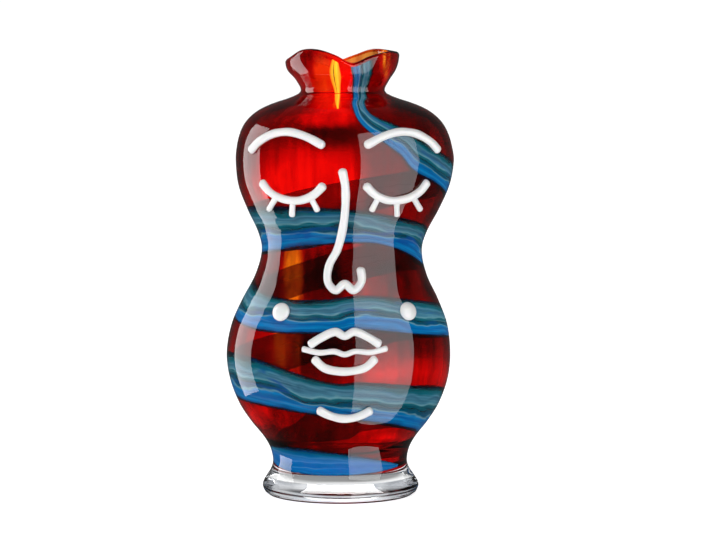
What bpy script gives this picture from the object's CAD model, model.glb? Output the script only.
"""Face vase in cased glass: its glass pieces and a plain studio.

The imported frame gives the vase's place and size. Each glass piece is shaped round the same outer surface:
a clear foot, a clear casing, the ruby vessel under it, the blue ribbon and the amber cane between the two,
and the white threads and dots that draw the face on top.
"""

from collections import namedtuple
from functools import lru_cache
from math import asin, atan2, cos, hypot, pi, radians, sin

import bmesh
import bpy
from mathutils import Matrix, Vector, noise


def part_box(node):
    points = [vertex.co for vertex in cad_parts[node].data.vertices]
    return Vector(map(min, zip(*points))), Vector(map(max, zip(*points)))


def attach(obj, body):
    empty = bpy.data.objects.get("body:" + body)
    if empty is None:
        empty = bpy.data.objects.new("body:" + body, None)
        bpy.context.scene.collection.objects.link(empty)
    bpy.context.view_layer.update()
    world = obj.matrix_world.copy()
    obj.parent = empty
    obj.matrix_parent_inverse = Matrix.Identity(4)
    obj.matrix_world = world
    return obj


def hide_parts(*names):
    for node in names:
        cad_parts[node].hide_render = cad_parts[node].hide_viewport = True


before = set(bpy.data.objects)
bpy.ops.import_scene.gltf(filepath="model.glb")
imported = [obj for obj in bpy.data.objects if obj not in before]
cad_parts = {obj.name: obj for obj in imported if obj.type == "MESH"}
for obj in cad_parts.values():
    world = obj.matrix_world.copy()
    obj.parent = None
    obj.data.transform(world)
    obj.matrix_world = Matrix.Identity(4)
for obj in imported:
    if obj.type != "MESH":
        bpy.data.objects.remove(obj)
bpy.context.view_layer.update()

bl_info = {
    "name": "Face Vase Builder",
    "version": (1, 0, 0),
    "blender": (4, 5, 0),
    "location": "View3D > Sidebar > Face Vase",
    "description": "Builds the glass pieces of a face vase and a plain studio round it",
    "category": "Add Mesh",
}

# Lengths are in metres, and those that are easier to read in millimetres are multiplied by MM. Angles are in
# degrees.
MM = 0.001

# Levels of the outer surface, in millimetres: height, half width, half depth and sideways lean
LEVELS = (
    (0.0, 54.0, 46.0, 0.0),
    (7.0, 58.2, 49.5, 0.0),
    (26.0, 50.0, 42.0, -0.5),
    (106.0, 83.1, 60.5, -1.5),
    (182.0, 59.3, 45.0, 1.0),
    (248.0, 80.5, 58.0, 3.3),
    (299.0, 31.0, 26.5, 1.8),
    (324.0, 41.5, 34.5, 1.5),
    (342.0, 42.7, 35.5, 1.5),
)

# Between each two levels, the shares of the rise and of the change in width where more rows shape the bulge
BULGE_SHARES = (
    ((0.12, 0.36), (0.43, 0.78)),
    ((0.29, 0.34), (0.55, 0.74), (0.79, 0.96)),
    ((0.11, 0.06), (0.22, 0.21), (0.36, 0.48), (0.53, 0.74), (0.76, 0.94)),
    ((0.28, 0.13), (0.52, 0.44), (0.76, 0.82)),
    ((0.20, 0.14), (0.46, 0.54), (0.73, 0.88)),
    ((0.20, 0.02), (0.40, 0.075), (0.58, 0.18), (0.73, 0.36), (0.83, 0.58), (0.92, 0.86)),
    ((0.30, 0.26), (0.65, 0.76)),
    (),
)

# Overall sizes, and the height at which the casing sits on the foot
HEIGHT = 330 * MM
BELLY_HALF = 83.1 * MM
SEAT_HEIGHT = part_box("clear_foot")[1].z

# Lip: its middle and half width, the height from which its wave grows, and how soon front turns to back
LIP_LEAN = 1.5 * MM
LIP_HALF = 41.5 * MM
WAVE_FOOT = 303 * MM
WAVE_TURN_SHARE = 0.3

# Wave in front and behind: shares of the lip's half width from its middle, and of the wave's depth
FRONT_WAVE_SHARES = (
    (-1.5, 1.2), (-1.0, 0.78), (-0.72, 0.06), (-0.43, 0.0), (-0.12, 0.42),
    (0.17, 1.0), (0.48, 0.5), (0.8, 0.17), (1.0, 0.22), (1.5, 0.6),
)
BACK_WAVE_SHARES = (
    (-1.5, 1.2), (-1.0, 0.78), (-0.75, 0.2), (-0.48, 0.25), (-0.25, 0.65),
    (-0.05, 0.85), (0.2, 0.5), (0.55, 0.02), (1.0, 0.22), (1.5, 0.6),
)

# Upper and lower edges of the ribbon on the front, from the lip down: shares of the belly's half width, and
# of the height. A place outside the glass stands for the glass's side.
RIBBON_SHARES = (
    (
        (
            (0.29, 0.99), (0.24, 0.91), (0.215, 0.885), (0.28, 0.862),
            (0.52, 0.835), (0.79, 0.79), (1.05, 0.735),
        ),
        (
            (0.09, 0.99), (0.105, 0.91), (0.10, 0.88), (0.195, 0.836),
            (0.51, 0.772), (0.68, 0.728), (1.05, 0.665),
        ),
    ),
    (
        ((-1.05, 0.647), (-0.48, 0.658), (0.05, 0.653), (0.46, 0.637), (1.05, 0.595)),
        ((-1.05, 0.541), (-0.35, 0.562), (-0.05, 0.575), (0.39, 0.569), (1.05, 0.51)),
    ),
    (
        ((-1.05, 0.487), (-0.54, 0.458), (-0.12, 0.458), (0.27, 0.465), (1.05, 0.43)),
        ((-1.05, 0.405), (-0.70, 0.383), (-0.04, 0.386), (0.23, 0.389), (1.05, 0.353)),
    ),
    (
        ((-1.05, 0.325), (-0.76, 0.323), (-0.09, 0.276), (0.27, 0.275), (1.05, 0.238)),
        ((-1.05, 0.222), (-0.62, 0.212), (0.04, 0.19), (0.27, 0.18), (1.05, 0.13)),
    ),
    (
        ((-1.05, 0.112), (-0.36, 0.119), (-0.12, 0.113), (0.2, 0.102), (0.53, 0.074)),
        ((-1.05, 0.07), (-0.46, 0.054), (-0.27, 0.051), (0.2, 0.057), (0.53, 0.068)),
    ),
)

# Right and left edges of the amber cane in the front of the neck, in the same shares as the ribbon's
CANE_SHARES = (
    ((-0.014, 0.984), (0.006, 0.948), (0.0, 0.915), (-0.016, 0.874)),
    ((-0.074, 0.988), (-0.096, 0.948), (-0.062, 0.915), (-0.026, 0.874)),
)

# Routes of the face's threads: shares of each part's width from its middle, and of its rise, dip or sag.
# A lash has the place where it leaves the lid, and its direction away from it.
BROW_SHARES = ((-0.5, 0.0), (-0.37, 0.52), (-0.18, 0.9), (0.03, 1.0), (0.25, 0.8), (0.5, 0.35))
LID_SHARES = ((-0.5, 0.0), (-0.36, 0.58), (-0.16, 0.93), (0.1, 1.0), (0.32, 0.7), (0.5, 0.1))
LASH_SHARES = (((-0.27, 0.76), (-0.45, 0.89)), ((0.0, 0.97), (0.05, 1.0)), ((0.25, 0.8), (0.5, 0.87)))
NOSE_SHARES = (
    (-0.08, 1.0), (0.02, 0.85), (0.02, 0.68), (-0.06, 0.5), (-0.22, 0.33), (-0.46, 0.2),
    (-0.5, 0.07), (-0.27, 0.0), (0.0, 0.05), (0.27, 0.0), (0.5, 0.07), (0.46, 0.19),
)
PARTING_SHARES = ((-0.5, -0.3), (-0.3, 0.6), (-0.12, 0.3), (0.0, 1.0), (0.12, 0.3), (0.3, 0.6), (0.5, -0.3))
UPPER_LIP_SHARES = (
    (-0.42, 0.22), (-0.27, 0.68), (-0.11, 1.0), (0.0, 0.78), (0.11, 1.0), (0.27, 0.68), (0.42, 0.22),
)
LOWER_LIP_SHARES = ((-0.37, 0.35), (-0.24, 0.83), (-0.08, 1.0), (0.08, 1.0), (0.24, 0.83), (0.37, 0.35))
CHIN_SHARES = ((-0.5, 0.0), (-0.3, 0.62), (-0.1, 0.97), (0.1, 1.0), (0.3, 0.68), (0.5, 0.1))

# Face: its middle, and the heights, spreads from the middle, widths and rises of its parts
FACE_MIDDLE = 3 * MM
BROW_HEIGHT = 256 * MM
BROW_SPREAD = 41 * MM
BROW_WIDTH = 54 * MM
BROW_RISE = 15 * MM
LID_HEIGHT = 236 * MM
LID_SPREAD = 37 * MM
LID_WIDTH = 46 * MM
LID_SAG = 13.5 * MM
LASH_LENGTH = 13 * MM
NOSE_TOP_HEIGHT = 246 * MM
NOSE_FOOT_HEIGHT = 157 * MM
NOSE_WIDTH = 24 * MM
MOUTH_HEIGHT = 115 * MM
MOUTH_WIDTH = 62 * MM
PARTING_DIP = 3 * MM
UPPER_LIP_RISE = 13 * MM
LOWER_LIP_DROP = 15 * MM
CHIN_HEIGHT = 72 * MM
CHIN_WIDTH = 40 * MM
CHIN_SAG = 7 * MM
CHEEK_HEIGHT = 141 * MM
CHEEK_SPREAD = 46 * MM

# Depths under the outer surface: the casing's inner side, the ribbon and cane, the core, and the whole wall
CASING_DEPTH = 1.1 * MM
INLAY_OUTER_DEPTH = 1.2 * MM
INLAY_INNER_DEPTH = 1.36 * MM
CORE_DEPTH = 1.5 * MM
WALL = 5 * MM

# Closed lower end: the core's bottom and the hollow's floor, each with its round, and the gap at the seat
CORE_BOTTOM = 18 * MM
CORE_ROUND = 14 * MM
FLOOR_HEIGHT = 29 * MM
FLOOR_ROUND = 14 * MM
SEAT_GAP = 0.05 * MM

# Angles round the rim where its points start and end, with 0 outside, 90 on top and 180 inside, and the angle
# from which the casing's inner side comes back over it
RIM_START = 10
RIM_END = 172
RIM_RETURN = 168

# Thread's section, in shares of its radius: the dome's height, its lift, and how far it sinks in. A dot
# sinks in by the same share of its rise.
THREAD_DOME = 0.92
THREAD_LIFT = 0.34
THREAD_SINK = 0.08

# Thread's swelling: its share of the radius, its bulges to a metre, how far the places of two threads lie
# apart in the noise that gives it, and how many radii the swelling at an end reaches
THREAD_SWELL = 0.1
SWELL_FREQUENCY = 110
SWELL_APART = 7.3
END_SWELL_REACH = 4

# Mesh steps: round the vase, up its side, over the rim, round a corner, down the ribbon behind the vase, and
# along and across ribbon and threads. Then come the sides of a dot, the step that slopes are measured over,
# the gap that merges points, and the angle from which an edge is sharp.
TURN_STEPS = 192
RISE_STEP = 2 * MM
RIM_STEPS = 12
CORNER_STEPS = 6
BACK_EDGE_STEPS = 4
RIBBON_STEPS = 80
RIBBON_ROWS = 14
THREAD_STEP = 0.6 * MM
THREAD_SIDES = 20
DOT_SIDES = 40
SLOPE_STEP = 0.5 * MM
MERGE_GAP = 0.001 * MM
SHARP_ANGLE = 50

# How far the UV of the ribbon and the cane runs for each metre along them
UV_RUN = 10

ProfilePoint = namedtuple("ProfilePoint", "height depth drawn_in fused")
BandRow = namedtuple("BandRow", "run middle upper_turn upper_height lower_turn lower_height")


def smooth_step(share):
    """A share between 0 and 1 that starts and ends gently."""
    share = min(max(share, 0), 1)
    return share * share * (3 - 2 * share)


def between(rows, key):
    """The values at a key, on a smooth curve through rows that start with their keys."""
    last = len(rows) - 1
    i = 0
    while i < last - 1 and rows[i + 1][0] < key:
        i += 1
    low, high = rows[i], rows[i + 1]
    before, after = rows[max(i - 1, 0)], rows[min(i + 2, last)]
    span = high[0] - low[0]
    t = min(max((key - low[0]) / span, 0), 1)
    values = []
    for a, b, c, d in zip(before[1:], low[1:], high[1:], after[1:]):
        slope_in = (c - a) / (high[0] - before[0]) * span
        slope_out = (d - b) / (after[0] - low[0]) * span
        rise = t * t * (3 - 2 * t)
        values.append(b + (c - b) * rise + slope_in * (t**3 - 2 * t**2 + t) + slope_out * (t**3 - t**2))
    return values


def outline_rows():
    """Rows of height, half width, half depth and lean of the outer surface, in metres."""
    rows = []
    for low, high, bulge in zip(LEVELS, LEVELS[1:], BULGE_SHARES):
        for rise, spread in ((0, 0), *bulge):
            shares = (rise, spread, spread, rise)
            rows.append([(a + share * (b - a)) * MM for a, b, share in zip(low, high, shares)])
    rows.append([value * MM for value in LEVELS[-1]])
    return rows


OUTLINE = outline_rows()


@lru_cache(maxsize=None)
def inset_section(height, depth):
    """Height, half width, half depth and lean of the surface at a depth under the outer surface."""
    wide, deep, lean = between(OUTLINE, height)
    wide_up, deep_up, _ = between(OUTLINE, height + SLOPE_STEP)
    wide_down, deep_down, _ = between(OUTLINE, height - SLOPE_STEP)
    widen = (wide_up - wide_down) / (2 * SLOPE_STEP)
    deepen = (deep_up - deep_down) / (2 * SLOPE_STEP)
    level = height + depth * widen / hypot(1, widen)
    return level, wide - depth / hypot(1, widen), deep - depth / hypot(1, deepen), lean


def waved(point):
    """A point of the neck, let down by the lip's wave, which grows from the neck to the rim."""
    if point.z <= WAVE_FOOT:
        return point
    across = (point.x - LIP_LEAN) / LIP_HALF
    front = between(FRONT_WAVE_SHARES, across)[0]
    back = between(BACK_WAVE_SHARES, across)[0]
    behind = smooth_step(0.5 + point.y / (WAVE_TURN_SHARE * LIP_HALF))
    drop = (front + behind * (back - front)) * bpy.context.scene.vase_sizes.wave_depth
    return point - Vector((0, 0, smooth_step((point.z - WAVE_FOOT) / (HEIGHT - WAVE_FOOT)) * drop))


def place(turn, height, depth, drawn_in=0):
    """A point in or on the glass. The turn is 0 in front, and grows towards the right."""
    level, wide, deep, lean = inset_section(height, depth)
    wide -= drawn_in
    deep -= drawn_in
    return waved(Vector((lean + wide * sin(turn), -deep * cos(turn), level)))


def inlay_place(turn, height, depth):
    """A point of the ribbon or the cane, which follows the core round its bottom."""
    bottom = CORE_BOTTOM + depth - CORE_DEPTH
    rise = min(max(height - bottom, 0), CORE_ROUND)
    drawn_in = CORE_ROUND - (CORE_ROUND**2 - (CORE_ROUND - rise) ** 2) ** 0.5
    point = place(turn, height, depth, drawn_in)
    point.z = max(point.z, bottom)
    return point


def seen_turn(x, height):
    """The turn of the place on the front that is seen at x."""
    wide, _, lean = between(OUTLINE, height)
    return asin(min(max((x - lean) / wide, -1), 1))


def front_place(x, height):
    """The point on the glass that is seen at a place from the front, and its outward normal."""
    turn = seen_turn(x, height)
    nudge = SLOPE_STEP / BELLY_HALF
    along = place(turn + nudge, height, 0) - place(turn - nudge, height, 0)
    up = place(turn, height + SLOPE_STEP, 0) - place(turn, height - SLOPE_STEP, 0)
    return place(turn, height, 0), along.cross(up).normalized()


def add_piece(name, bm, materials):
    """Turns a finished bmesh into the object that stands for the node of that name and rides on the vase."""
    mesh = bpy.data.meshes.new(name)
    bm.to_mesh(mesh)
    bm.free()
    for material in materials:
        mesh.materials.append(material)
    mesh.polygons.foreach_set("use_smooth", [True] * len(mesh.polygons))
    mesh.set_sharp_from_angle(angle=radians(SHARP_ANGLE))
    piece = bpy.data.objects.new(name + "_glass", mesh)
    bpy.context.scene.collection.objects.link(piece)
    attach(piece, "root")
    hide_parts(name)
    return piece


def spin_shell(profile):
    """A closed bmesh of a profile turned round the vase. Fused faces get the second material."""
    bm = bmesh.new()
    verts = [bm.verts.new((1, 0, i)) for i in range(len(profile))]
    edges = [bm.edges.new(pair) for pair in zip(verts, verts[1:])]
    full_turn = {"cent": (0, 0, 0), "axis": (0, 0, 1), "dvec": (0, 0, 0), "angle": 2 * pi}
    bmesh.ops.spin(bm, geom=verts + edges, steps=TURN_STEPS, use_merge=True, **full_turn)
    for face in bm.faces:
        face.material_index = int(all(profile[round(vert.co.z)].fused for vert in face.verts))
    for vert in bm.verts:
        here = profile[round(vert.co.z)]
        if here.depth is None:
            vert.co = (between(OUTLINE, here.height)[2], 0, here.height)
        else:
            vert.co = place(atan2(vert.co.x, -vert.co.y), here.height, here.depth, here.drawn_in)
    bmesh.ops.remove_doubles(bm, verts=bm.verts, dist=MERGE_GAP)
    bmesh.ops.recalc_face_normals(bm, faces=bm.faces)
    return bm


def side_points(start, end, depth, fused):
    """Profile points up or down the side of the vase."""
    count = max(round(abs(end - start) / RISE_STEP), 2)
    return [ProfilePoint(start + (end - start) * i / count, depth, 0, fused) for i in range(count + 1)]


def rim_points(outer_depth, radius, start, end, fused):
    """Profile points round the rim, from an angle to another."""
    points = []
    for i in range(RIM_STEPS + 1):
        angle = radians(start + (end - start) * i / RIM_STEPS)
        height = HEIGHT - WALL / 2 + radius * sin(angle)
        points.append(ProfilePoint(height, outer_depth + radius * (1 - cos(angle)), 0, fused))
    return points


def corner_points(bottom, radius, depth, fused):
    """Profile points down round the corner of a flat bottom."""
    points = []
    for i in range(1, CORNER_STEPS + 1):
        angle = pi / 2 * i / CORNER_STEPS
        height = bottom + radius * (1 - sin(angle))
        points.append(ProfilePoint(height, depth, radius * (1 - cos(angle)), fused))
    return points


def foot_profile():
    """The foot, from the middle of its sole round its edge to the middle of the casing's seat."""
    top = SEAT_HEIGHT - SEAT_GAP
    side = side_points(0, top, 0, False)
    seat = [ProfilePoint(top, 0, 0, True), ProfilePoint(top, None, 0, True)]
    return [ProfilePoint(0, None, 0, False)] + side[:-1] + seat


def casing_profile():
    """The casing, up its outside, over the rim, and back down between it and the ruby core."""
    spring = HEIGHT - WALL / 2
    inner_radius = (WALL - CASING_DEPTH) / 2
    bottom = CORE_BOTTOM + CASING_DEPTH - CORE_DEPTH
    return [
        ProfilePoint(SEAT_HEIGHT, None, 0, True),
        ProfilePoint(SEAT_HEIGHT, 0, 0, True),
        *side_points(SEAT_HEIGHT, spring, 0, False)[1:],
        *rim_points(0, WALL / 2, RIM_START, RIM_END, False),
        ProfilePoint(spring, WALL, 0, True),
        *rim_points(CASING_DEPTH, inner_radius, RIM_RETURN, 0, True),
        *side_points(spring, bottom + CORE_ROUND, CASING_DEPTH, True)[1:],
        *corner_points(bottom, CORE_ROUND, CASING_DEPTH, True),
        ProfilePoint(bottom, None, 0, True),
    ]


def core_profile():
    """The ruby vessel, up its outside, over the rim and down its hollow.

    Its outside counts as fused, and so gets the coloured layer.
    """
    spring = HEIGHT - WALL / 2
    radius = (WALL - CORE_DEPTH) / 2
    return [
        ProfilePoint(CORE_BOTTOM, None, 0, True),
        *corner_points(CORE_BOTTOM, CORE_ROUND, CORE_DEPTH, True)[::-1],
        *side_points(CORE_BOTTOM + CORE_ROUND, spring, CORE_DEPTH, True),
        *rim_points(CORE_DEPTH, radius, RIM_START, RIM_END, True),
        ProfilePoint(spring, WALL, 0, True),
        *side_points(spring, FLOOR_HEIGHT + FLOOR_ROUND, WALL, False)[1:],
        *corner_points(FLOOR_HEIGHT, FLOOR_ROUND, WALL, False),
        ProfilePoint(FLOOR_HEIGHT, None, 0, False),
    ]


def edge_rows(edge, turns):
    """Rows of the share of the way, turn and height along an edge, some full turns down the ribbon."""
    rows = []
    for i, (x_share, height_share) in enumerate(edge):
        height = height_share * HEIGHT
        rows.append((i / (len(edge) - 1), seen_turn(x_share * BELLY_HALF, height) + turns * 2 * pi, height))
    return rows


def back_rows(ending, starting):
    """Rows of an edge behind the vase, which looks straight from behind."""
    rows = []
    for i in range(BACK_EDGE_STEPS + 1):
        share = i / BACK_EDGE_STEPS
        fall = (1 - cos(pi * share)) / 2
        turn = ending[1] + (starting[1] - ending[1]) * share
        rows.append((share, turn, ending[2] + (starting[2] - ending[2]) * fall))
    return rows


def ribbon_stretches():
    """The ribbon's stretches from the lip down, in front and behind by turns, each with its two edges."""
    fronts = [[edge_rows(edge, i) for edge in edges] for i, edges in enumerate(RIBBON_SHARES)]
    stretches = [fronts[0]]
    for ending, starting in zip(fronts, fronts[1:]):
        stretches.append([back_rows(a[-1], b[0]) for a, b in zip(ending, starting)])
        stretches.append(starting)
    return stretches


def inlay_band(stretches):
    """A closed band in the wall. Its UV runs along it by length, and across it from 0 to 1."""
    rows = []
    for upper, lower in stretches:
        for i in range(1 if rows else 0, RIBBON_STEPS + 1):
            upper_turn, upper_height = between(upper, i / RIBBON_STEPS)
            lower_turn, lower_height = between(lower, i / RIBBON_STEPS)
            turn = (upper_turn + lower_turn) / 2
            middle = inlay_place(turn, (upper_height + lower_height) / 2, INLAY_OUTER_DEPTH)
            run = rows[-1].run + (middle - rows[-1].middle).length if rows else 0
            rows.append(BandRow(run, middle, upper_turn, upper_height, lower_turn, lower_height))
    bm = bmesh.new()
    bmesh.ops.create_grid(bm, x_segments=len(rows) - 1, y_segments=RIBBON_ROWS, size=1)
    uv_layer = bm.loops.layers.uv.new("along_and_across")
    for face in bm.faces:
        for loop in face.loops:
            row = rows[round((loop.vert.co.x + 1) / 2 * (len(rows) - 1))]
            loop[uv_layer].uv = (row.run * UV_RUN, (loop.vert.co.y + 1) / 2)
    for vert in bm.verts:
        row = rows[round((vert.co.x + 1) / 2 * (len(rows) - 1))]
        across = (vert.co.y + 1) / 2
        turn = row.lower_turn + (row.upper_turn - row.lower_turn) * across
        height = row.lower_height + (row.upper_height - row.lower_height) * across
        vert.co = inlay_place(turn, height, INLAY_OUTER_DEPTH)
    bm.normal_update()
    front = min(bm.faces, key=lambda face: face.calc_center_median().y)
    if front.normal.y > 0:
        bmesh.ops.reverse_faces(bm, faces=bm.faces)
    bmesh.ops.solidify(bm, geom=bm.faces[:], thickness=INLAY_INNER_DEPTH - INLAY_OUTER_DEPTH)
    return bm


def thread_stations(places):
    """Points, normals and the way so far along a smooth route through places on the front."""
    keys = [0]
    for (x, z), (next_x, next_z) in zip(places, places[1:]):
        keys.append(keys[-1] + hypot(next_x - x, next_z - z))
    rows = [(key, *spot) for key, spot in zip(keys, places)]
    count = round(keys[-1] / THREAD_STEP)
    stations = []
    for i in range(count + 1):
        point, normal = front_place(*between(rows, keys[-1] * i / count))
        run = stations[-1][2] + (point - stations[-1][0]).length if stations else 0
        stations.append((point, normal, run))
    return stations


def add_thread(bm, places, radius, seed):
    """Lays a thread of hot glass on the front: domed on top, flat where it sits, and round at its ends."""
    stations = thread_stations(places)
    last = len(stations) - 1
    length = stations[-1][2]
    verts = bmesh.ops.create_grid(bm, x_segments=last, y_segments=THREAD_SIDES, size=1)["verts"]
    for vert in verts:
        i = round((vert.co.x + 1) / 2 * last)
        angle = pi * (vert.co.y + 1)
        point, normal, run = stations[i]
        along = stations[min(i + 1, last)][0] - stations[max(i - 1, 0)][0]
        across = along.cross(normal).normalized()
        to_end = min(run, length - run) / radius
        rounding = (1 - (1 - min(to_end, 1)) ** 2) ** 0.5
        bulge = noise.noise(Vector((run * SWELL_FREQUENCY, seed * SWELL_APART, 0)))
        swell = 1 + THREAD_SWELL * bulge + THREAD_SWELL * max(0, 1 - to_end / END_SWELL_REACH)
        size = radius * swell * rounding
        lift = max(THREAD_DOME * sin(angle) + THREAD_LIFT, -THREAD_SINK)
        vert.co = point + across * size * cos(angle) + normal * size * lift
    bmesh.ops.remove_doubles(bm, verts=verts, dist=MERGE_GAP)


def thread_piece(name, routes, materials):
    """The object of a thread, or of several that belong together."""
    bm = bmesh.new()
    for i, (places, radius) in enumerate(routes):
        add_thread(bm, places, radius, len(name) + i)
    bmesh.ops.recalc_face_normals(bm, faces=bm.faces)
    return add_piece(name, bm, materials)


def face_places(shares, middle, height, width, rise, mirror=1):
    """Places of a part of the face, from shares of its width and its rise."""
    return [(middle + mirror * x * width, height + z * rise) for x, z in shares]


def lash_places(start, heading, middle, mirror):
    """The two ends of a lash, which leaves the lid downwards and outwards."""
    ((x, z),) = face_places([start], middle, LID_HEIGHT, LID_WIDTH, -LID_SAG, mirror)
    return [(x, z), (x + mirror * heading[0] * LASH_LENGTH, z - heading[1] * LASH_LENGTH)]


# Places in metres, each with its centre, its size and its strength. The ruby layer has thin bright glass, or
# thick dark glass where the strength is negative, and amber streaks. The foot has smoky glass.
THIN_PLACES = (
    ((-0.021, 0, 0.234), (0.05, 1, 0.036), 0.5),
    ((-0.009, 0, 0.283), (0.028, 1, 0.011), 0.5),
    ((-0.006, 0, 0.308), (0.024, 1, 0.026), 0.5),
    ((0.03, 0, 0.314), (0.013, 1, 0.022), 0.1),
    ((0.045, 0, 0.09), (0.046, 1, 0.019), 0.36),
    ((0.076, 0, 0.104), (0.012, 1, 0.03), 0.15),
    ((-0.05, 0, 0.112), (0.025, 1, 0.02), 0.15),
    ((-0.059, 0, 0.062), (0.012, 1, 0.012), 0.4),
    ((0.034, 0, 0.043), (0.016, 1, 0.01), 0.5),
    ((-0.008, 0, 0.268), (0.03, 1, 0.012), -0.28),
    ((0.06, 0, 0.25), (0.04, 1, 0.06), -0.15),
    ((-0.014, 0, 0.16), (0.022, 1, 0.024), -0.3),
    ((0.055, 0, 0.165), (0.03, 1, 0.03), -0.32),
    ((-0.01, 0, 0.109), (0.034, 1, 0.018), -0.35),
    ((0.06, 0, 0.118), (0.03, 1, 0.014), -0.2),
)
AMBER_PLACES = (
    ((-0.0355, 0, 0.163), (0.01, 1, 0.04), 0.85),
    ((-0.0445, 0, 0.112), (0.008, 1, 0.028), 0.75),
    ((-0.033, 0, 0.112), (0.006, 1, 0.026), 0.45),
    ((-0.012, 0, 0.31), (0.012, 1, 0.02), 0.3),
    ((0.0335, 0, 0.322), (0.0035, 1, 0.016), 0.9),
    ((0.0145, 0.036, 0.328), (0.026, 0.03, 0.016), 0.5),
)
SMOKY_PLACES = (
    ((-0.054, 0, 0.012), (0.036, 1, 0.04), 0.7),
    ((0.054, 0, 0.012), (0.036, 1, 0.04), 0.9),
)
SMOKE = (0.14, 0.15, 0.17)

# Depths in metres between which the ruby and the ribbon change from the vase's front to its back
TURN_DEPTHS = (-0.01, 0.03)

# How bright the ruby layer is: the shares of its streaks, cords and clouds, its level, and more behind
STREAK_SHARE = 1.1
CORD_SHARE = 0.4
CLOUD_SHARE = 0.8
RUBY_LEVEL = -0.8
BEHIND_LEVEL = 0.22

# How strong the amber is, and how the ruby turns where the glass is seen side on
AMBER_GAIN = 2.0
SIDE_ON_POWER = 2.2
SIDE_ON_RUBY = (0.85, 0.11, 0.14)

# Ribbon: how far its stripes sway, its see-through tint, how thin it looks in front and behind, and the
# heights in metres between which it turns bluer towards the foot
RIBBON_SWAY = 0.75
RIBBON_TINT = (0.85, 0.6, 0.65, 1)
RIBBON_THINNESS = (0.25, 0.6)
BLUE_HEIGHTS = (0.05, 0.03)

# Cane: how far its stripes sway, and its glow, for the light that comes through it from behind
CANE_SWAY = 0.3
CANE_GLOW = 0.4


def add_node(tree, kind, inputs=None, **settings):
    """A shader node with its settings and input values. An input that is an output socket is linked."""
    made = tree.nodes.new("ShaderNode" + kind)
    for name, value in settings.items():
        setattr(made, name, value)
    for name, value in (inputs or {}).items():
        if isinstance(value, bpy.types.NodeSocket):
            tree.links.new(value, made.inputs[name])
        else:
            made.inputs[name].default_value = value
    return made


def new_material(name):
    """An empty material with its node tree."""
    material = bpy.data.materials.new(name)
    material.use_nodes = True
    material.node_tree.nodes.clear()
    return material, material.node_tree


def show(tree, shader):
    """Makes a shader node the look of its material."""
    add_node(tree, "OutputMaterial", {"Surface": shader.outputs[0]})


def object_coords(tree):
    """Coordinates in metres that stay on the object."""
    return add_node(tree, "TexCoord").outputs["Object"]


def band_coords(tree):
    """The UV along and across the ribbon or the cane."""
    return add_node(tree, "UVMap", uv_map="along_and_across").outputs[0]


def part_of(tree, coords, axis):
    """The part of coordinates along an axis."""
    return add_node(tree, "SeparateXYZ", {"Vector": coords}).outputs[axis]


def scaled(tree, coords, *scale):
    """Coordinates that are scaled along each axis, so that a pattern is drawn out where the scale is low."""
    return add_node(tree, "Mapping", {"Vector": coords, "Scale": scale}).outputs[0]


def noise_level(tree, coords, scale, detail, **inputs):
    """The level of a noise pattern, about 0.5 on average."""
    inputs = {"Vector": coords, "Scale": scale, "Detail": detail, **inputs}
    return add_node(tree, "TexNoise", inputs).outputs["Fac"]


def bumped(tree, height, strength, distance):
    """The normal of a surface that a pattern raises."""
    inputs = {"Strength": strength, "Distance": distance, "Height": height}
    return add_node(tree, "Bump", inputs).outputs[0]


def math(tree, operation, first, second=0.0, clamp=False):
    """The result of a math node."""
    inputs = {0: first, 1: second}
    return add_node(tree, "Math", inputs, operation=operation, use_clamp=clamp).outputs[0]


def product(tree, first, *others):
    """The product of values."""
    for other in others:
        first = math(tree, "MULTIPLY", first, other)
    return first


def total(tree, first, *others):
    """The sum of values."""
    for other in others:
        first = math(tree, "ADD", first, other)
    return first


def ranged(tree, value, start, end, low, high):
    """A value taken from the range between start and end to the one between low and high, and kept in it."""
    inputs = {"Value": value, "From Min": start, "From Max": end, "To Min": low, "To Max": high}
    return add_node(tree, "MapRange", inputs).outputs[0]


def mix(tree, factor, first, second):
    """The colour that a mix node makes of two."""
    made = add_node(tree, "Mix", data_type="RGBA")
    for socket, value in zip((made.inputs[0], made.inputs[6], made.inputs[7]), (factor, first, second)):
        if isinstance(value, bpy.types.NodeSocket):
            tree.links.new(value, socket)
        else:
            socket.default_value = (*value[:3], 1)
    return made.outputs[2]


def color_ramp(tree, factor, stops):
    """A colour ramp over a factor, with stops of place and colour from the lowest to the highest."""
    ramp = add_node(tree, "ValToRGB", {"Fac": factor})
    elements = ramp.color_ramp.elements
    for element, (at, color) in zip(elements, (stops[0], stops[-1])):
        element.position = at
        element.color = (*color[:3], 1)
    for at, color in stops[1:-1]:
        elements.new(at).color = (*color[:3], 1)
    return ramp.outputs["Color"]


def patches(tree, coords, places):
    """The sum of patches, each at its strength round its centre, fading out from half its size on."""
    level = 0.0
    for centre, size, strength in places:
        inputs = {"Vector": coords, "Location": centre, "Scale": size}
        mapping = add_node(tree, "Mapping", inputs, vector_type="TEXTURE")
        fading = add_node(tree, "TexGradient", {"Vector": mapping.outputs[0]}, gradient_type="SPHERICAL")
        patch = math(tree, "MULTIPLY", fading.outputs["Fac"], 2.0, clamp=True)
        level = math(tree, "ADD", level, math(tree, "MULTIPLY", patch, strength))
    return level


def clear_shader(tree, color, normal):
    """The shader of smooth clear glass."""
    inputs = {"Base Color": color, "Roughness": 0.0, "IOR": 1.5, "Transmission Weight": 1.0, "Normal": normal}
    return add_node(tree, "BsdfPrincipled", inputs)


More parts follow.
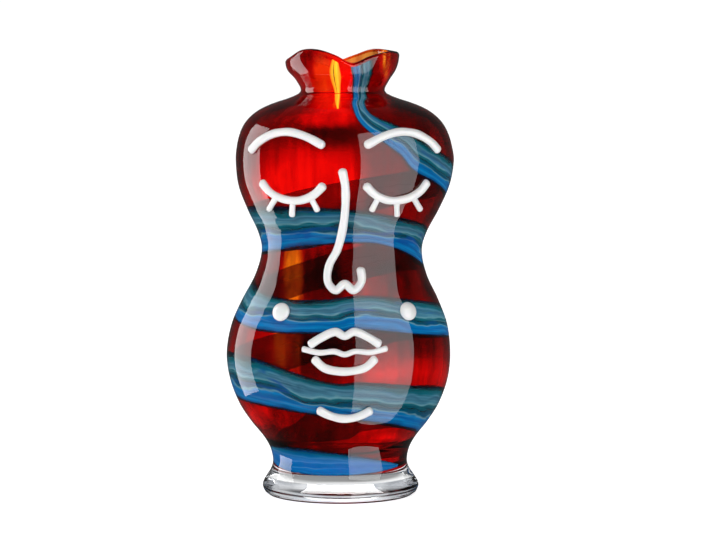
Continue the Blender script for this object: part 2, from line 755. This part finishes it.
def clear_glass():
    """Clear fire-polished glass, faintly grey, with a hand-blown ripple."""
    material, tree = new_material("fire_polished_clear_glass")
    coords = object_coords(tree)
    cords = noise_level(tree, coords, 30.0, 2.0)
    color = color_ramp(tree, cords, ((0.3, (0.93, 0.96, 0.96)), (0.7, (0.99, 0.995, 0.995))))
    ripple = noise_level(tree, coords, 22.0, 1.5, Roughness=0.4)
    show(tree, clear_shader(tree, color, bumped(tree, ripple, 0.25, 0.002)))
    return material


def foot_glass():
    """Thick clear glass, tooled by hand, whose depth shows a smoky grey in places."""
    material, tree = new_material("thick_tooled_foot_glass")
    coords = object_coords(tree)
    turned = scaled(tree, coords, 1.0, 1.0, 3.5)
    cords = noise_level(tree, turned, 38.0, 3.0, Distortion=0.8)
    color = color_ramp(tree, cords, ((0.36, (0.5, 0.54, 0.6)), (0.6, (0.93, 0.95, 0.97))))
    smoky = math(tree, "MULTIPLY", patches(tree, coords, SMOKY_PLACES), 1.0, clamp=True)
    ripple = noise_level(tree, turned, 26.0, 1.0)
    show(tree, clear_shader(tree, mix(tree, smoky, color, SMOKE), bumped(tree, ripple, 0.2, 0.003)))
    return material


def fused_seam():
    """The unseen boundary where two layers of glass have fused."""
    material, tree = new_material("fused_seam")
    show(tree, add_node(tree, "BsdfTransparent", {"Color": (1, 1, 1, 1)}))
    return material


def ruby_layer(colors):
    """The core's ruby colour, streaked from top to bottom, with thin bright places and amber streaks."""
    material, tree = new_material("streaked_ruby_layer")
    coords = object_coords(tree)
    drawn = scaled(tree, coords, 1.0, 1.0, 0.1)
    cords = noise_level(tree, drawn, 210.0, 2.0)
    level = total(
        tree,
        product(tree, noise_level(tree, drawn, 55.0, 3.0, Roughness=0.6), STREAK_SHARE),
        product(tree, cords, CORD_SHARE),
        product(tree, noise_level(tree, coords, 15.0, 3.0, Roughness=0.55), CLOUD_SHARE),
        RUBY_LEVEL,
        ranged(tree, part_of(tree, coords, "Y"), *TURN_DEPTHS, 0.0, BEHIND_LEVEL),
    )
    level = math(tree, "ADD", level, patches(tree, coords, THIN_PLACES), clamp=True)
    stops = (
        (0.0, (0.12, 0.003, 0.003)),
        (0.25, (0.3, 0.006, 0.006)),
        (0.5, (0.5, 0.008, 0.01)),
        (0.75, colors.ruby),
        (1.0, colors.bright_ruby),
    )
    ruby = color_ramp(tree, level, stops)
    amber = product(tree, patches(tree, coords, AMBER_PLACES), cords)
    ruby = mix(tree, math(tree, "MULTIPLY", amber, AMBER_GAIN, clamp=True), ruby, colors.amber)
    facing = add_node(tree, "LayerWeight", {"Blend": 0.35}).outputs["Facing"]
    tint = mix(tree, math(tree, "POWER", facing, SIDE_ON_POWER), ruby, SIDE_ON_RUBY)
    show(tree, add_node(tree, "BsdfTransparent", {"Color": tint}))
    return material


def ribbon_glass(colors):
    """Streaked glass: dark edges, a bright blue lower part, a teal and grey body, and pale wavy lines."""
    material, tree = new_material("streaked_blue_ribbon")
    uv = band_coords(tree)
    coords = object_coords(tree)
    across = part_of(tree, uv, "Y")
    inside = math(tree, "MULTIPLY", across, math(tree, "SUBTRACT", 1.0, across))
    inside = math(tree, "MULTIPLY", inside, 4.0, clamp=True)
    wander = noise_level(tree, scaled(tree, uv, 1.0, 0.5, 1.0), 2.6, 2.5, Roughness=0.5)
    sway = product(tree, math(tree, "SUBTRACT", wander, 0.5), RIBBON_SWAY, inside)
    stops = (
        (0.0, colors.edge),
        (0.035, colors.edge),
        (0.07, (0.0, 0.14, 0.42)),
        (0.14, colors.blue),
        (0.22, (0.0, 0.17, 0.52)),
        (0.31, colors.blue),
        (0.34, colors.pale_line),
        (0.37, (0.0, 0.12, 0.24)),
        (0.46, (0.002, 0.09, 0.13)),
        (0.56, colors.teal),
        (0.6, colors.pale_line),
        (0.63, colors.pale),
        (0.72, (0.05, 0.2, 0.31)),
        (0.77, colors.pale),
        (0.82, colors.teal),
        (0.9, (0.002, 0.11, 0.13)),
        (0.965, colors.edge),
        (1.0, colors.edge),
    )
    color = color_ramp(tree, math(tree, "ADD", across, sway), stops)
    streaks = noise_level(tree, scaled(tree, uv, 0.8, 14.0, 1.0), 1.6, 4.0, Distortion=0.6)
    color = mix(tree, ranged(tree, streaks, 0.3, 0.5, 0.425, 0.0), color, (0.0, 0.05, 0.1))
    paler = product(tree, ranged(tree, streaks, 0.58, 0.74, 0.0, 0.5), inside)
    color = mix(tree, paler, color, colors.pale_line)
    blotches = noise_level(tree, scaled(tree, uv, 1.5, 2.2, 1.0), 1.7, 3.0, Distortion=0.8)
    deep = product(tree, ranged(tree, blotches, 0.56, 0.68, 0.0, 0.75), inside)
    color = mix(tree, deep, color, (0.004, 0.09, 0.42))
    low = product(tree, ranged(tree, part_of(tree, coords, "Z"), *BLUE_HEIGHTS, 0.0, 0.7), inside)
    color = mix(tree, low, color, (0.0, 0.26, 0.85))
    inputs = {"Base Color": color, "Roughness": 0.35, "Specular IOR Level": 0.0}
    streaked = add_node(tree, "BsdfPrincipled", inputs)
    clear = add_node(tree, "BsdfTransparent", {"Color": RIBBON_TINT})
    thin = ranged(tree, part_of(tree, coords, "Y"), *TURN_DEPTHS, *RIBBON_THINNESS)
    show(tree, add_node(tree, "MixShader", {0: thin, 1: streaked.outputs[0], 2: clear.outputs[0]}))
    return material


def amber_glass():
    """Amber glass with a dark line drawn along it, and the glow of the light behind it."""
    material, tree = new_material("amber_cane_glass")
    uv = band_coords(tree)
    wander = noise_level(tree, uv, 4.0, 2.0)
    sway = product(tree, math(tree, "SUBTRACT", wander, 0.5), CANE_SWAY)
    stops = (
        (0.0, (0.8, 0.14, 0.01)),
        (0.18, (1.0, 0.42, 0.02)),
        (0.3, (1.0, 0.5, 0.03)),
        (0.37, (0.1, 0.02, 0.01)),
        (0.44, (1.0, 0.55, 0.02)),
        (0.7, (1.0, 0.62, 0.04)),
        (0.9, (1.0, 0.3, 0.02)),
        (1.0, (0.8, 0.08, 0.01)),
    )
    color = color_ramp(tree, math(tree, "ADD", part_of(tree, uv, "Y"), sway), stops)
    inputs = {"Base Color": color, "Roughness": 0.35, "Specular IOR Level": 0.0}
    glow = {"Emission Color": color, "Emission Strength": CANE_GLOW}
    show(tree, add_node(tree, "BsdfPrincipled", {**inputs, **glow}))
    return material


def white_glass(colors):
    """Opaque white glass with a glossy skin and slight clouds."""
    material, tree = new_material("opaque_white_glass")
    coords = object_coords(tree)
    clouds = noise_level(tree, coords, 90.0, 3.0)
    cooler = tuple(value * share for value, share in zip(colors.white, (0.93, 0.94, 0.955)))
    ripple = noise_level(tree, coords, 160.0, 2.0)
    inputs = {
        "Base Color": color_ramp(tree, clouds, ((0.35, cooler), (0.65, colors.white))),
        "Roughness": 0.28,
        "IOR": 1.5,
        "Subsurface Weight": 0.15,
        "Subsurface Scale": 0.002,
        "Coat Weight": 0.35,
        "Coat Roughness": 0.08,
        "Normal": bumped(tree, ripple, 0.15, 0.0008),
    }
    show(tree, add_node(tree, "BsdfPrincipled", inputs))
    return material


def kept(name, maker):
    """A material by its name, made when it is first asked for."""
    return bpy.data.materials.get(name) or maker()


def length_setting(name, description, default):
    """A length that a maker may change."""
    return bpy.props.FloatProperty(name=name, description=description, default=default, unit="LENGTH")


def color_setting(name, description, default):
    """A colour that a maker may change."""
    return bpy.props.FloatVectorProperty(name=name, description=description, default=default, subtype="COLOR")


class VaseSizes(bpy.types.PropertyGroup):
    """The vase's sizes that can be changed."""

    wave_depth: length_setting("Wave depth", "How far the lip's wave drops under the rim's height", 9.6 * MM)
    thread_radius: length_setting("Thread radius", "Half the width of the face's main threads", 3 * MM)
    fine_radius: length_setting(
        "Fine radius", "Half the width of the lashes and of the line between the lips", 2.1 * MM
    )
    dot_radius: length_setting("Dot radius", "Half the width of the dots on the cheeks", 6.8 * MM)
    dot_rise: length_setting("Dot rise", "How far a dot stands off the glass", 3.6 * MM)


class VaseColors(bpy.types.PropertyGroup):
    """The vase's colours that can be changed."""

    ruby: color_setting("Ruby", "Colour of the ruby core", (0.72, 0.012, 0.016))
    bright_ruby: color_setting("Bright ruby", "Ruby where the core is thin", (1.0, 0.05, 0.03))
    amber: color_setting("Amber", "Colour of the amber streaks", (0.9, 0.42, 0.06))
    blue: color_setting("Ribbon blue", "Bright stripe of the ribbon", (0.0, 0.31, 0.72))
    teal: color_setting("Ribbon teal", "Body of the ribbon", (0.006, 0.19, 0.26))
    pale: color_setting("Ribbon grey", "Paler part of the ribbon", (0.09, 0.33, 0.46))
    pale_line: color_setting("Pale line", "Fine lines along the ribbon", (0.2, 0.5, 0.58))
    edge: color_setting("Ribbon edge", "Dark edges of the ribbon", (0.002, 0.006, 0.02))
    white: color_setting("White", "Colour of the threads and dots", (0.86, 0.86, 0.85))


class VaseOperator:
    """What the vase's operators share."""

    bl_options = {"REGISTER", "UNDO"}

    def execute(self, context):
        self.build(context.scene.vase_sizes, context.scene.vase_colors)
        return {"FINISHED"}


class VASE_OT_foot(VaseOperator, bpy.types.Operator):
    """Builds the clear foot with its flat sole."""

    bl_idname = "vase.foot"
    bl_label = "Foot"

    def build(self, sizes, colors):
        materials = [foot_glass(), kept("fused_seam", fused_seam)]
        add_piece("clear_foot", spin_shell(foot_profile()), materials)


class VASE_OT_casing(VaseOperator, bpy.types.Operator):
    """Builds the clear casing over the coloured glass."""

    bl_idname = "vase.casing"
    bl_label = "Casing"

    def build(self, sizes, colors):
        materials = [kept("fire_polished_clear_glass", clear_glass), kept("fused_seam", fused_seam)]
        add_piece("clear_casing", spin_shell(casing_profile()), materials)


class VASE_OT_core(VaseOperator, bpy.types.Operator):
    """Builds the hollow ruby vessel."""

    bl_idname = "vase.core"
    bl_label = "Ruby core"

    def build(self, sizes, colors):
        materials = [kept("fire_polished_clear_glass", clear_glass), ruby_layer(colors)]
        add_piece("ruby_core", spin_shell(core_profile()), materials)


class VASE_OT_ribbon(VaseOperator, bpy.types.Operator):
    """Builds the blue ribbon that winds down the vase."""

    bl_idname = "vase.ribbon"
    bl_label = "Ribbon"

    def build(self, sizes, colors):
        add_piece("blue_ribbon", inlay_band(ribbon_stretches()), [ribbon_glass(colors)])


class VASE_OT_cane(VaseOperator, bpy.types.Operator):
    """Builds the amber cane in the neck."""

    bl_idname = "vase.cane"
    bl_label = "Cane"

    def build(self, sizes, colors):
        edges = [edge_rows(edge, 0) for edge in CANE_SHARES]
        add_piece("amber_cane", inlay_band([edges]), [amber_glass()])


class VASE_OT_eyes(VaseOperator, bpy.types.Operator):
    """Lays the threads of the brows, the closed lids and their lashes."""

    bl_idname = "vase.eyes"
    bl_label = "Brows and lids"

    def build(self, sizes, colors):
        materials = [kept("opaque_white_glass", lambda: white_glass(colors))]
        for side, mirror in (("left", -1), ("right", 1)):
            brow_middle = FACE_MIDDLE + mirror * BROW_SPREAD
            lid_middle = FACE_MIDDLE + mirror * LID_SPREAD
            brow = face_places(BROW_SHARES, brow_middle, BROW_HEIGHT, BROW_WIDTH, BROW_RISE, -mirror)
            lid = face_places(LID_SHARES, lid_middle, LID_HEIGHT, LID_WIDTH, -LID_SAG, -mirror)
            lashes = [(lash_places(*lash, lid_middle, mirror), sizes.fine_radius) for lash in LASH_SHARES]
            thread_piece(side + "_brow_thread", [(brow, sizes.thread_radius)], materials)
            thread_piece(side + "_lid_thread", [(lid, sizes.thread_radius)], materials)
            thread_piece(side + "_lash_threads", lashes, materials)


class VASE_OT_mouth(VaseOperator, bpy.types.Operator):
    """Lays the threads of the nose, the lips and the chin."""

    bl_idname = "vase.mouth"
    bl_label = "Nose, lips and chin"

    def build(self, sizes, colors):
        materials = [kept("opaque_white_glass", lambda: white_glass(colors))]
        nose = (FACE_MIDDLE, NOSE_FOOT_HEIGHT, NOSE_WIDTH, NOSE_TOP_HEIGHT - NOSE_FOOT_HEIGHT)
        mouth = (FACE_MIDDLE, MOUTH_HEIGHT, MOUTH_WIDTH)
        chin = (FACE_MIDDLE, CHIN_HEIGHT, CHIN_WIDTH, -CHIN_SAG)
        routes = (
            ("nose_thread", face_places(NOSE_SHARES, *nose), sizes.thread_radius),
            ("lip_parting_thread", face_places(PARTING_SHARES, *mouth, -PARTING_DIP), sizes.fine_radius),
            ("upper_lip_thread", face_places(UPPER_LIP_SHARES, *mouth, UPPER_LIP_RISE), sizes.thread_radius),
            ("lower_lip_thread", face_places(LOWER_LIP_SHARES, *mouth, -LOWER_LIP_DROP), sizes.thread_radius),
            ("chin_thread", face_places(CHIN_SHARES, *chin), sizes.thread_radius),
        )
        for name, places, radius in routes:
            thread_piece(name, [(places, radius)], materials)


class VASE_OT_dots(VaseOperator, bpy.types.Operator):
    """Presses the dots on the cheeks."""

    bl_idname = "vase.dots"
    bl_label = "Cheek dots"

    def build(self, sizes, colors):
        materials = [kept("opaque_white_glass", lambda: white_glass(colors))]
        for side, mirror in (("left", -1), ("right", 1)):
            point, normal = front_place(FACE_MIDDLE + mirror * CHEEK_SPREAD, CHEEK_HEIGHT)
            across = Vector((0, 0, 1)).cross(normal).normalized()
            up = normal.cross(across)
            bm = bmesh.new()
            bmesh.ops.create_uvsphere(bm, u_segments=DOT_SIDES, v_segments=DOT_SIDES // 2, radius=1)
            for vert in bm.verts:
                x, y, z = vert.co
                lift = max(z, -THREAD_SINK) * sizes.dot_rise
                vert.co = point + (across * x + up * y) * sizes.dot_radius + normal * lift
            bmesh.ops.recalc_face_normals(bm, faces=bm.faces)
            add_piece(side + "_cheek_dot", bm, materials)


# Studio: the floor, and the camera's place, aim and lens
FLOOR_HALF = 6.0
FLOOR_DROP = 0.2 * MM
FLOOR_GLOW = 0.8
CAMERA_PLACE = (0, -1.8, 0.35)
CAMERA_AIM = (0.013, 0, 0.1669)
CAMERA_LENS = 122.7

# White surroundings: how bright they look, shine in gloss from the front and from behind, light what is
# opaque, light what lies under clear glass, and look overhead through glass
SEEN_WHITE = 1.05
GLOSS_WHITE = 0.03
BACK_GLOSS_WHITE = 0.08
LIGHT_WHITE = 0.45
COVERED_WHITE = 2.2
OVERHEAD_WHITE = 0.3

# How far up, and how far back, a direction of length 1 points where the surroundings change
OVERHEAD_TURN = (0.12, 0.4)
BEHIND_TURN = (-0.2, 0.5)

# Upright softboxes, in metres. The azimuth is 0 towards the camera, and grows towards the right. A glossy one
# shines in the gloss, and the other lights what is opaque.
Softbox = namedtuple("Softbox", "name azimuth distance width low high radiance glossy reach")
SOFTBOXES = (
    Softbox("right_softbox", 39, 0.75, 0.76, -0.8, 0.72, 2.8, True, "all"),
    Softbox("left_softbox", -99, 0.75, 0.48, -0.3, 0.72, 4.3, True, "all but the foot"),
    Softbox("key_softbox", -35, 1.0, 0.8, 0.5, 1.3, 3.0, False, "all"),
    Softbox("foot_softbox", 2, 0.6, 1.7, 0.2, 1.2, 16.0, True, "the foot"),
    Softbox("low_foot_softbox", 2, 0.6, 1.7, -1.6, -0.55, 16.0, True, "the foot"),
)


def lay_floor():
    """A wide pale floor just under the sole."""
    bm = bmesh.new()
    bmesh.ops.create_grid(bm, x_segments=1, y_segments=1, size=FLOOR_HALF)
    bmesh.ops.translate(bm, verts=bm.verts, vec=(0, 0, -FLOOR_DROP))
    mesh = bpy.data.meshes.new("studio_floor")
    bm.to_mesh(mesh)
    bm.free()
    material, tree = new_material("pale_paper")
    fibres = noise_level(tree, object_coords(tree), 60.0, 3.0)
    inputs = {
        "Base Color": color_ramp(tree, fibres, ((0.3, (0.9, 0.9, 0.9)), (0.7, (0.92, 0.92, 0.92)))),
        "Roughness": 0.9,
        "Emission Color": (1, 1, 1, 1),
        "Emission Strength": FLOOR_GLOW,
    }
    show(tree, add_node(tree, "BsdfPrincipled", inputs))
    mesh.materials.append(material)
    floor = bpy.data.objects.new("studio_floor", mesh)
    floor.visible_glossy = False
    bpy.context.scene.collection.objects.link(floor)


def set_surroundings():
    """White surroundings that look white, light the vase more dimly and hardly show in its gloss.

    Overhead they are dim where glass bends the view upwards, which draws the grey lines of clear glass.
    """
    world = bpy.data.worlds.new("white_surroundings")
    world.use_nodes = True
    bpy.context.scene.world = world
    tree = world.node_tree
    tree.nodes.clear()
    ray = add_node(tree, "LightPath").outputs
    heading = add_node(tree, "TexCoord").outputs["Generated"]
    overhead = ranged(tree, part_of(tree, heading, "Z"), *OVERHEAD_TURN, SEEN_WHITE, OVERHEAD_WHITE)
    gloss = ranged(tree, part_of(tree, heading, "Y"), *BEHIND_TURN, GLOSS_WHITE, BACK_GLOSS_WHITE)
    covered = math(tree, "MINIMUM", ray["Diffuse Depth"], 1.0)
    through = ranged(tree, covered, 0.0, 1.0, overhead, COVERED_WHITE)
    strength = ranged(tree, ray["Is Diffuse Ray"], 0.0, 1.0, gloss, LIGHT_WHITE)
    strength = ranged(tree, ray["Is Camera Ray"], 0.0, 1.0, strength, SEEN_WHITE)
    strength = ranged(tree, ray["Is Transmission Ray"], 0.0, 1.0, strength, through)
    back = add_node(tree, "Background", {"Color": (1, 1, 1, 1), "Strength": strength})
    add_node(tree, "OutputWorld", {"Surface": back.outputs[0]})


def add_softbox(row):
    """A softbox that either shines in the gloss or lights what is opaque, on all of the vase or a part."""
    light = bpy.data.lights.new(row.name, "AREA")
    light.shape = "RECTANGLE"
    light.size = row.width
    light.size_y = row.high - row.low
    light.energy = row.radiance * pi * row.width * (row.high - row.low)
    softbox = bpy.data.objects.new(row.name, light)
    turn = radians(row.azimuth)
    towards = Vector((-sin(turn), cos(turn), 0))
    softbox.location = Vector((0, 0, (row.low + row.high) / 2)) - towards * row.distance
    softbox.rotation_euler = towards.to_track_quat("-Z", "Y").to_euler()
    softbox.visible_camera = False
    softbox.visible_transmission = False
    softbox.visible_glossy = row.glossy
    softbox.visible_diffuse = not row.glossy
    bpy.context.scene.collection.objects.link(softbox)
    if row.reach != "all":
        reach = bpy.data.collections.new(row.name + "_reach")
        reach.objects.link(bpy.data.objects["clear_foot_glass"])
        if row.reach == "all but the foot":
            reach.collection_objects[0].light_linking.link_state = "EXCLUDE"
        softbox.light_linking.receiver_collection = reach


def set_camera():
    """The camera at the photo's angle, and the plain look of its picture."""
    scene = bpy.context.scene
    camera = bpy.data.objects.new("camera", bpy.data.cameras.new("camera"))
    camera.data.lens = CAMERA_LENS
    camera.data.sensor_width = 36
    camera.location = CAMERA_PLACE
    camera.rotation_euler = (Vector(CAMERA_AIM) - camera.location).to_track_quat("-Z", "Y").to_euler()
    scene.collection.objects.link(camera)
    scene.camera = camera
    scene.view_settings.view_transform = "Standard"
    scene.cycles.transparent_max_bounces = 32
    scene.cycles.transmission_bounces = 16
    scene.cycles.max_bounces = 20


class VASE_OT_stage(VaseOperator, bpy.types.Operator):
    """Sets the pale floor, the softboxes, the white surroundings and the camera."""

    bl_idname = "vase.stage"
    bl_label = "Stage"

    def build(self, sizes, colors):
        lay_floor()
        set_surroundings()
        for row in SOFTBOXES:
            add_softbox(row)
        set_camera()


OPERATORS = (
    VASE_OT_foot,
    VASE_OT_casing,
    VASE_OT_core,
    VASE_OT_ribbon,
    VASE_OT_cane,
    VASE_OT_eyes,
    VASE_OT_mouth,
    VASE_OT_dots,
    VASE_OT_stage,
)


class VASE_PT_build(bpy.types.Panel):
    """Lists the vase's settings and the pieces that it can build."""

    bl_label = "Face Vase"
    bl_space_type = "VIEW_3D"
    bl_region_type = "UI"
    bl_category = "Face Vase"

    def draw(self, context):
        for settings in (context.scene.vase_sizes, context.scene.vase_colors):
            for name in settings.__annotations__:
                self.layout.prop(settings, name)
        for operator in OPERATORS:
            self.layout.operator(operator.bl_idname)


CLASSES = (VaseSizes, VaseColors, *OPERATORS, VASE_PT_build)


def register():
    """Makes the settings, operators and panel known to Blender."""
    for each in CLASSES:
        bpy.utils.register_class(each)
    bpy.types.Scene.vase_sizes = bpy.props.PointerProperty(type=VaseSizes)
    bpy.types.Scene.vase_colors = bpy.props.PointerProperty(type=VaseColors)


def unregister():
    """Takes the settings, operators and panel away again."""
    del bpy.types.Scene.vase_colors
    del bpy.types.Scene.vase_sizes
    for each in reversed(CLASSES):
        bpy.utils.unregister_class(each)


def main():
    """Builds the whole scene."""
    register()
    bpy.ops.vase.foot()
    bpy.ops.vase.casing()
    bpy.ops.vase.core()
    bpy.ops.vase.ribbon()
    bpy.ops.vase.cane()
    bpy.ops.vase.eyes()
    bpy.ops.vase.mouth()
    bpy.ops.vase.dots()
    bpy.ops.vase.stage()


if __name__ == "__main__":
    main()
